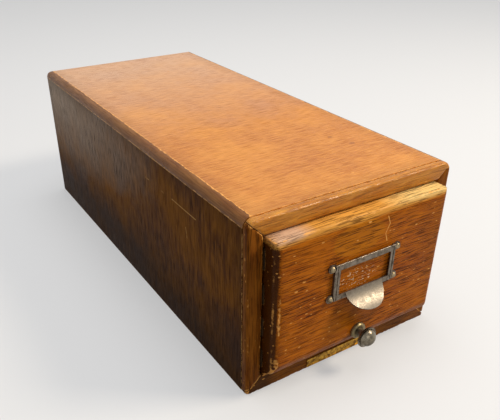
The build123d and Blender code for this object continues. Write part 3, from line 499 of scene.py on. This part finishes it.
# Rolled brass: gold where it is rubbed, dark brown between, with fine lines along the strip.
strip_metal = old_metal("brass_strip_rubbed", "#D2A23C", "#6E4816", "#2E1C08", 0.35, 0.6, 3.2 * MM, "x")
# Nickel plate on turned brass: a smooth, warm grey that still mirrors what is around it.
knob_metal = old_metal("nickel_plate_worn_to_brass", "#857C6B", "#544C3F", "#2C261D", 0.20, 0.42, 5 * MM)
# Drawn steel: a pale grey with fine lines along the rod.
rod_metal = old_metal("steel_rod_worn", "#9A948A", "#6C665C", "#3B362D", 0.28, 0.5, 9 * MM, "y")
# Drawn steel nails: rough brown rust with some grey left.
nail_metal = old_metal("steel_nails_rusted", "#77695A", "#4E4034", "#33241A", 0.5, 0.75, 2 * MM)
# Turned brass screws: a dull yellow with darker patches.
screw_metal = old_metal("brass_screws_dull", "#B39655", "#7C6536", "#463619", 0.3, 0.55, 3 * MM)
finishes.update({
    "label_frame": holder_metal, "rod_bush": bush_metal, "rod_socket_plate": bush_metal,
    "brass_strip": strip_metal, "rod_knob": knob_metal, "card_rod": rod_metal,
    "follower_insert": screw_metal, "clamp_screw": screw_metal,
})
for node, material in finishes.items():
    for slot in bpy.data.objects[node].material_slots:
        slot.material = material


# ---------------------------------------------------------------- aged boards
# Sizes of the wear: fine nicks on the arrises, and broad unevenness of the faces.
NICK_SIZE = 2.2 * MM
WAVE_SIZE = 14 * MM
WAVE_DEPTH = 0.05 * MM
NICK_GAIN = 2.2  # brings the usual height of the nick noise to about 1
ARRIS_HEIGHT = 0.10  # how far a point of a full arris stands out from its neighbours, in voxels
WELD = 0.005 * MM  # points closer than this are one


def dress(obj, material):
    """Gives a whole piece one material."""
    obj.data.materials.clear()
    obj.data.materials.append(material)


def evaluated_mesh(obj):
    """What the modifiers of an object make, as a plain mesh."""
    bpy.context.view_layer.update()
    graph = bpy.context.evaluated_depsgraph_get()
    return bpy.data.meshes.new_from_object(obj.evaluated_get(graph))


def keep(obj, body, node):
    """Hangs a piece on its body in place of a CAD node."""
    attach(obj, body)
    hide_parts(node)


def aged_board(node, body, material, seed, voxel=0.9 * MM, dent=0.5 * MM, knocks=()):
    """A worn copy of a CAD board: arrises rubbed round and nicked, faces a little uneven.

    dent is the depth of the nicks. knocks are (centre, reach, depth) of places that are chipped deeper.
    The worn attribute marks the bared wood.
    """
    mesh = bpy.data.objects[node].data.copy()
    form = bmesh.new()
    form.from_mesh(mesh)
    bmesh.ops.remove_doubles(form, verts=form.verts, dist=WELD)
    form.to_mesh(mesh)
    form.free()
    board = bpy.data.objects.new(node + "_aged", mesh)
    bpy.context.collection.objects.link(board)
    remesh = board.modifiers.new("even_facets", "REMESH")
    remesh.mode = "VOXEL"
    remesh.voxel_size = voxel
    remesh.use_smooth_shade = True
    mesh = evaluated_mesh(board)
    board.modifiers.clear()
    board.data = mesh

    count = len(mesh.vertices)
    points = np.empty(count * 3)
    mesh.vertices.foreach_get("co", points)
    points = points.reshape(count, 3)
    normals = np.empty(count * 3, dtype=np.float32)
    mesh.vertex_normals.foreach_get("vector", normals)
    normals = normals.reshape(count, 3).astype(float)
    ends = np.empty(len(mesh.edges) * 2, dtype=np.int32)
    mesh.edges.foreach_get("vertices", ends)
    first, second = ends.reshape(-1, 2).T
    degree = np.bincount(ends, minlength=count).astype(float)

    def around(values):
        """Mean of a value over each vertex's neighbours."""
        total = np.zeros_like(values)
        np.add.at(total, first, values[second])
        np.add.at(total, second, values[first])
        return total / (degree[:, None] if values.ndim == 2 else degree)

    # The voxels' steps are evened out, and ridge finds the arrises: 1 on them, 0 on the faces.
    points = 0.5 * points + 0.5 * around(points)
    ridge = -np.einsum("ij,ij->i", around(points) - points, normals) / voxel
    for _ in range(2):
        ridge = 0.4 * ridge + 0.6 * around(ridge)
    ridge = np.clip(ridge / ARRIS_HEIGHT, 0, 1)

    fine = np.array([noise.noise(Vector(p) / NICK_SIZE + Vector((seed, 0, 0))) for p in points])
    broad = np.array([noise.noise(Vector(p) / WAVE_SIZE + Vector((0, seed, 0))) for p in points])
    nick = np.clip(fine + 0.5 * broad - 0.12, 0, 1)
    push = ridge * (0.25 * voxel + dent * nick * NICK_GAIN) + WAVE_DEPTH * broad
    for centre, reach, depth in knocks:
        away = np.linalg.norm((points - np.array(centre)) / np.array(reach), axis=1)
        hit = np.clip(1 - away, 0, 1) * np.clip(fine + 0.35, 0, 1)
        push += depth * hit
        ridge = np.clip(ridge + 1.4 * hit, 0, 1)
    points -= normals * push[:, None]
    mesh.vertices.foreach_set("co", points.ravel())
    bared = (ridge * np.clip(0.75 + broad, 0, 1)).astype(np.float32)
    mesh.attributes.new("worn", "FLOAT", "POINT").data.foreach_set("value", bared)
    mesh.update()
    dress(board, material)
    keep(board, body, node)


# The left bevel of the drawer front is chipped in two places.
FRONT_KNOCKS = [
    ((-0.0725, front_face, 0.070), (0.004, 0.006, 0.022), 0.8 * MM),
    ((-0.0735, front_face, 0.030), (0.004, 0.006, 0.012), 0.7 * MM),
]
# Oak front under old varnish: a red brown with fine figure, full of small chips, its arrises rubbed pale.
front_oak = oak_piece(
    "drawer_front", "oak_drawer_front_varnished", "x", 15, OAK_FRONT, specks=0.9, wear=0.0,
    stains=FRONT_STAINS_SHADE_AND_HIGHLIGHTS, scraps=FRONT_SCRAPS, scratches=FRONT_SCRATCHES, figure=0.5)
aged_board("drawer_front", "drawer", front_oak, seed=3.1, knocks=FRONT_KNOCKS)

# Moulded oak lippings under old varnish, in lit and shaded copies of one wood: golden and glossy above,
# lightened as painted light, and dark brown at the foot and the sides as painted shade of the drawer front.
for side, grain, board_seed, tones, stains in (
        ("top", "x", 16, OAK_LIP_PAINTED_LIT, ()), ("bottom", "x", 17, OAK_LIP_FOOT_PAINTED_SHADE, FOOT_DARK_END),
        ("left", "z", 18, OAK_LIP_SIDE_PAINTED_SHADE, ()), ("right", "z", 19, OAK_LIP_SIDE_PAINTED_SHADE, ())):
    lip = f"front_lip_{side}"
    lip_oak = oak_piece(
        lip, f"oak_lipping_varnished_{side}", grain, board_seed, tones, specks=0.35, wear=0.0,
        stains=stains)
    aged_board(lip, "case", lip_oak, seed=board_seed * 1.7, voxel=0.7 * MM)


# ---------------------------------------------------------------- pins, nails and screws
FASTENER_SOCKETS = [
    ("Head radius", "NodeSocketFloat"), ("Head height", "NodeSocketFloat"),
    ("Shank radius", "NodeSocketFloat"), ("Shank length", "NodeSocketFloat"),
    ("Axis", "NodeSocketVector"), ("Seed", "NodeSocketInt"), ("Material", "NodeSocketMaterial"),
]
SLOT_SOCKET = ("Slot width", "NodeSocketFloat")
TILT, FULL_TURN = 0.03, 3.1  # radians either way


def new_tree(name, sockets):
    """A geometry node tree with the named inputs of a fastener; returns it with its input sockets."""
    tree = bpy.data.node_groups.new(name, "GeometryNodeTree")
    tree.interface.new_socket(name="Geometry", in_out="INPUT", socket_type="NodeSocketGeometry")
    for socket_name, kind in sockets:
        tree.interface.new_socket(name=socket_name, in_out="INPUT", socket_type=kind)
    tree.interface.new_socket(name="Geometry", in_out="OUTPUT", socket_type="NodeSocketGeometry")
    return tree, tree.nodes.new("NodeGroupInput").outputs


def shank_below(tree, given, top):
    """A plain shank that hangs from height top, a socket."""
    shank = add(tree, "GeometryNodeMeshCylinder", {
        "Vertices": 16, "Radius": given["Shank radius"], "Depth": given["Shank length"]}).outputs["Mesh"]
    middle = add(tree, "ShaderNodeMath", {
        0: given["Shank length"], 1: -0.5, 2: top}, operation="MULTIPLY_ADD")
    place = add(tree, "ShaderNodeCombineXYZ", {2: middle})
    return add(tree, "GeometryNodeTransform", {"Geometry": shank, "Translation": place})


def set_on_points(tree, given, head, shank):
    """Puts a fastener on every point along Axis, each turned and tilted a little differently."""
    whole = add(tree, "GeometryNodeJoinGeometry", {0: head})
    tree.links.new(shank.outputs[0], whole.inputs[0])
    turn = add(tree, "FunctionNodeRandomValue", {
        0: (-TILT, -TILT, -FULL_TURN), 1: (TILT, TILT, FULL_TURN), "Seed": given["Seed"],
    }, data_type="FLOAT_VECTOR")
    aim = add(tree, "FunctionNodeAlignRotationToVector", {"Vector": given["Axis"]}, axis="Z")
    spin = add(tree, "FunctionNodeEulerToRotation", {0: turn.outputs[0]})
    both = add(tree, "FunctionNodeRotateRotation", {0: aim, 1: spin}, rotation_space="LOCAL")
    placed = add(tree, "GeometryNodeInstanceOnPoints", {
        "Points": given["Geometry"], "Instance": whole, "Rotation": both})
    solid = add(tree, "GeometryNodeRealizeInstances", {0: placed})
    finished = add(tree, "GeometryNodeSetMaterial", {"Geometry": solid, "Material": given["Material"]})
    add(tree, "NodeGroupOutput", {0: finished})


# Round-headed pins and nails: a domed head and a plain shank.
pin_tree, given = new_tree("round_headed_pins", FASTENER_SOCKETS)
dome = add(pin_tree, "GeometryNodeMeshUVSphere", {
    "Segments": 28, "Rings": 14, "Radius": 1.0}).outputs["Mesh"]
dome_size = add(pin_tree, "ShaderNodeCombineXYZ", {
    0: given["Head radius"], 1: given["Head radius"], 2: given["Head height"]})
dome = add(pin_tree, "GeometryNodeTransform", {"Geometry": dome, "Scale": dome_size})
dome = add(pin_tree, "GeometryNodeSetShadeSmooth", {0: dome})
ground = add(pin_tree, "ShaderNodeValue")
set_on_points(pin_tree, given, dome, shank_below(pin_tree, given, ground))

# Countersunk wood screws: a slotted cone and a shank.
screw_tree, given = new_tree("slotted_wood_screws", FASTENER_SOCKETS + [SLOT_SOCKET])
head = add(screw_tree, "GeometryNodeMeshCone", {
    "Vertices": 32, "Radius Top": given["Head radius"], "Radius Bottom": given["Shank radius"],
    "Depth": given["Head height"]}).outputs["Mesh"]
head_foot = add(screw_tree, "ShaderNodeMath", {0: given["Head height"], 1: -1.0}, operation="MULTIPLY")
head_place = add(screw_tree, "ShaderNodeCombineXYZ", {2: head_foot})
head = add(screw_tree, "GeometryNodeTransform", {"Geometry": head, "Translation": head_place})
slot_length = add(screw_tree, "ShaderNodeMath", {0: given["Head radius"], 1: 2.4}, operation="MULTIPLY")
slot_size = add(screw_tree, "ShaderNodeCombineXYZ", {
    0: slot_length, 1: given["Slot width"], 2: given["Head height"]})
slot_block = add(screw_tree, "GeometryNodeMeshCube", {"Size": slot_size}).outputs["Mesh"]
head = add(screw_tree, "GeometryNodeMeshBoolean", {
    0: head, 1: slot_block}, operation="DIFFERENCE", solver="EXACT")
set_on_points(screw_tree, given, head, shank_below(screw_tree, given, head_foot))


def fasteners(node, body, tree, axis, across, rows, values, material):
    """Rebuilds a group of fasteners on the places that its CAD node gives.

    axis points out of the heads. across and rows count them along X and along the other axis of their
    plane.
    """
    low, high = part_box(node)
    depth_axis = 1 if axis[1] else 2
    row_axis = 3 - depth_axis
    inset = values["Head radius"]
    level = low[depth_axis] if axis[depth_axis] < 0 else high[depth_axis]
    if tree is pin_tree:
        level -= axis[depth_axis] * values["Head height"]
    half_rows = (high[row_axis] - low[row_axis]) / 2 - inset
    spots = []
    for x in np.linspace(low[0] + inset, high[0] - inset, across):
        for share in (np.linspace(-1, 1, rows) if rows > 1 else [0]):
            spot = [x, 0, 0]
            spot[depth_axis] = level
            spot[row_axis] = (low[row_axis] + high[row_axis]) / 2 + share * half_rows
            spots.append(spot)
    mesh = bpy.data.meshes.new(node + "_made")
    mesh.from_pydata(spots, [], [])
    piece = bpy.data.objects.new(node + "_made", mesh)
    bpy.context.collection.objects.link(piece)
    modifier = piece.modifiers.new("fasteners", "NODES")
    modifier.node_group = tree
    values = {**values, "Axis": axis, "Material": material}
    for item in tree.interface.items_tree:
        if item.in_out == "INPUT" and item.name in values:
            modifier[item.identifier] = values[item.name]
    piece.data = evaluated_mesh(piece)
    piece.modifiers.clear()
    keep(piece, body, node)


def in_mm(head, height, shank, length, seed, slot_width=0.0):
    """Sizes of a fastener in millimetres, as its tree takes them."""
    return {"Head radius": head * MM, "Head height": height * MM, "Shank radius": shank * MM,
            "Shank length": length * MM, "Seed": seed, "Slot width": slot_width * MM}


# The sizes are the CAD's, less a hair on the shanks and the screw heads, so that a tilted one stays in
# its hole.
FRONT, BACK, DOWN = (0.0, -1.0, 0.0), (0.0, 1.0, 0.0), (0.0, 0.0, -1.0)
fasteners("label_frame_pins", "drawer", pin_tree, FRONT, 2, 2,
          in_mm(2.3, 1.9, 0.88, 8.9, 4), pin_metal)
fasteners("back_panel_nails", "case", pin_tree, BACK, 2, 4,
          in_mm(1.6, 0.7, 0.78, 12.9, 5), nail_metal)
fasteners("drawer_bottom_nails", "drawer", pin_tree, DOWN, 4, 1,
          in_mm(1.6, 0.7, 0.78, 11.9, 6), nail_metal)
fasteners("drawer_stop_screws", "case", screw_tree, DOWN, 2, 1,
          in_mm(2.98, 1.5, 1.48, 12.3, 7, 0.7), screw_metal)
fasteners("rod_socket_screws", "drawer", screw_tree, FRONT, 2, 1,
          in_mm(2.98, 1.5, 1.48, 6.9, 8, 0.7), screw_metal)

# ---------------------------------------------------------------- floor, light and camera
FLOOR_REACH = 6.0
FLOOR_GLOW = 0.45
LIGHT_AROUND, LIGHT_BEHIND = 0.40, 0.9

# Camera of the photo, fitted to the corners of the case. Angles in degrees, place in metres.
CAMERA_PLACE = (-0.26160, -0.46321, 0.31437)
HEADING, PITCH, ROLL = 32.201, 30.305, 0.089
LENS, SENSOR_WIDTH = 43.336, 36.0
SHIFT_X, SHIFT_Y = 0.0243, 0.0549


def seen_or_mirrored(tree):
    """1 for what the camera sees, straight or in a shiny surface, and 0 for light on the object."""
    path = add(tree, "ShaderNodeLightPath").outputs
    return add(tree, "ShaderNodeMath", {
        0: path["Is Camera Ray"], 1: path["Is Glossy Ray"]}, operation="MAXIMUM")


# Paper floor, matt and rolled flat: pale to the eye but darker for the light it throws back, so that the
# wood isn't lit from below. A share of glow keeps it pale far from the lamps, and the shadow stays.
floor_material, tree = new_material("pale_floor_paper")
seen = seen_or_mirrored(tree)
paper = add(tree, "ShaderNodeMix", {
    0: seen, 6: linear("#85827E"), 7: linear("#D6D6D6")}, data_type="RGBA").outputs[2]
shader = add(tree, "ShaderNodeBsdfPrincipled", {
    "Base Color": paper, "Roughness": 0.85, "Specular IOR Level": 0.2})
glow = add(tree, "ShaderNodeEmission", {"Color": linear("#ECECEC"), "Strength": 1.0})
glow_share = add(tree, "ShaderNodeMath", {0: seen, 1: FLOOR_GLOW}, operation="MULTIPLY")
evened = add(tree, "ShaderNodeMixShader", {0: glow_share, 1: shader, 2: glow})
add(tree, "ShaderNodeOutputMaterial", {"Surface": evened})

floor_mesh = bpy.data.meshes.new("floor")
corners = [(x * FLOOR_REACH, y * FLOOR_REACH, 0) for x, y in ((-1, -1), (1, -1), (1, 1), (-1, 1))]
floor_mesh.from_pydata(corners, [], [(0, 1, 2, 3)])
floor = bpy.data.objects.new("floor", floor_mesh)
bpy.context.collection.objects.link(floor)
dress(floor, floor_material)

# Studio: a soft light all round, and a pale backdrop for what is seen or mirrored.
world = bpy.data.worlds.new("studio")
bpy.context.scene.world = world
world.use_nodes = True
tree = world.node_tree
tree.nodes.clear()
dim = add(tree, "ShaderNodeBackground", {"Color": linear("#F2F4F8"), "Strength": LIGHT_AROUND})
bright = add(tree, "ShaderNodeBackground", {"Color": linear("#F3F4F6"), "Strength": LIGHT_BEHIND})
backdrop = add(tree, "ShaderNodeMixShader", {0: seen_or_mirrored(tree), 1: dim, 2: bright})
add(tree, "ShaderNodeOutputWorld", {"Surface": backdrop})


def lamp(name, place, aim, size, power, colour):
    """A square soft lamp that shines from place to aim."""
    data = bpy.data.lights.new(name, "AREA")
    data.shape = "SQUARE"
    data.size = size
    data.energy = power
    data.color = linear(colour)[:3]
    light = bpy.data.objects.new(name, data)
    light.location = place
    light.rotation_mode = "QUATERNION"
    light.rotation_quaternion = (Vector(aim) - Vector(place)).to_track_quat("-Z", "Y")
    bpy.context.collection.objects.link(light)


# A warm window high on the right gives the light and the shadow; the other two only soften it.
lamp("window_right", (1.02, -0.78, 1.30), (0, -0.05, 0.07), 0.42, 25, "#FFF1DC")
lamp("ceiling", (0.1, 0.1, 1.7), (0, 0, 0.1), 1.2, 16, "#FFFFFF")
lamp("front_fill", (-0.2, -1.7, 0.8), (0, -0.2, 0.07), 0.9, 3, "#FFF8EE")

camera_data = bpy.data.cameras.new("camera")
camera_data.sensor_fit = "HORIZONTAL"
camera_data.sensor_width = SENSOR_WIDTH
camera_data.lens = LENS
camera_data.shift_x = SHIFT_X
camera_data.shift_y = SHIFT_Y
camera = bpy.data.objects.new("camera", camera_data)
heading, pitch, roll = (math.radians(angle) for angle in (HEADING, PITCH, ROLL))
level = math.cos(pitch)
looking = Vector((math.sin(heading) * level, math.cos(heading) * level, -math.sin(pitch)))
rolled = Matrix.Rotation(roll, 3, "Z").to_quaternion()
camera.rotation_mode = "QUATERNION"
camera.rotation_quaternion = looking.to_track_quat("-Z", "Y") @ rolled
camera.location = CAMERA_PLACE
bpy.context.collection.objects.link(camera)
bpy.context.scene.camera = camera

bpy.context.scene.view_settings.view_transform = "Standard"
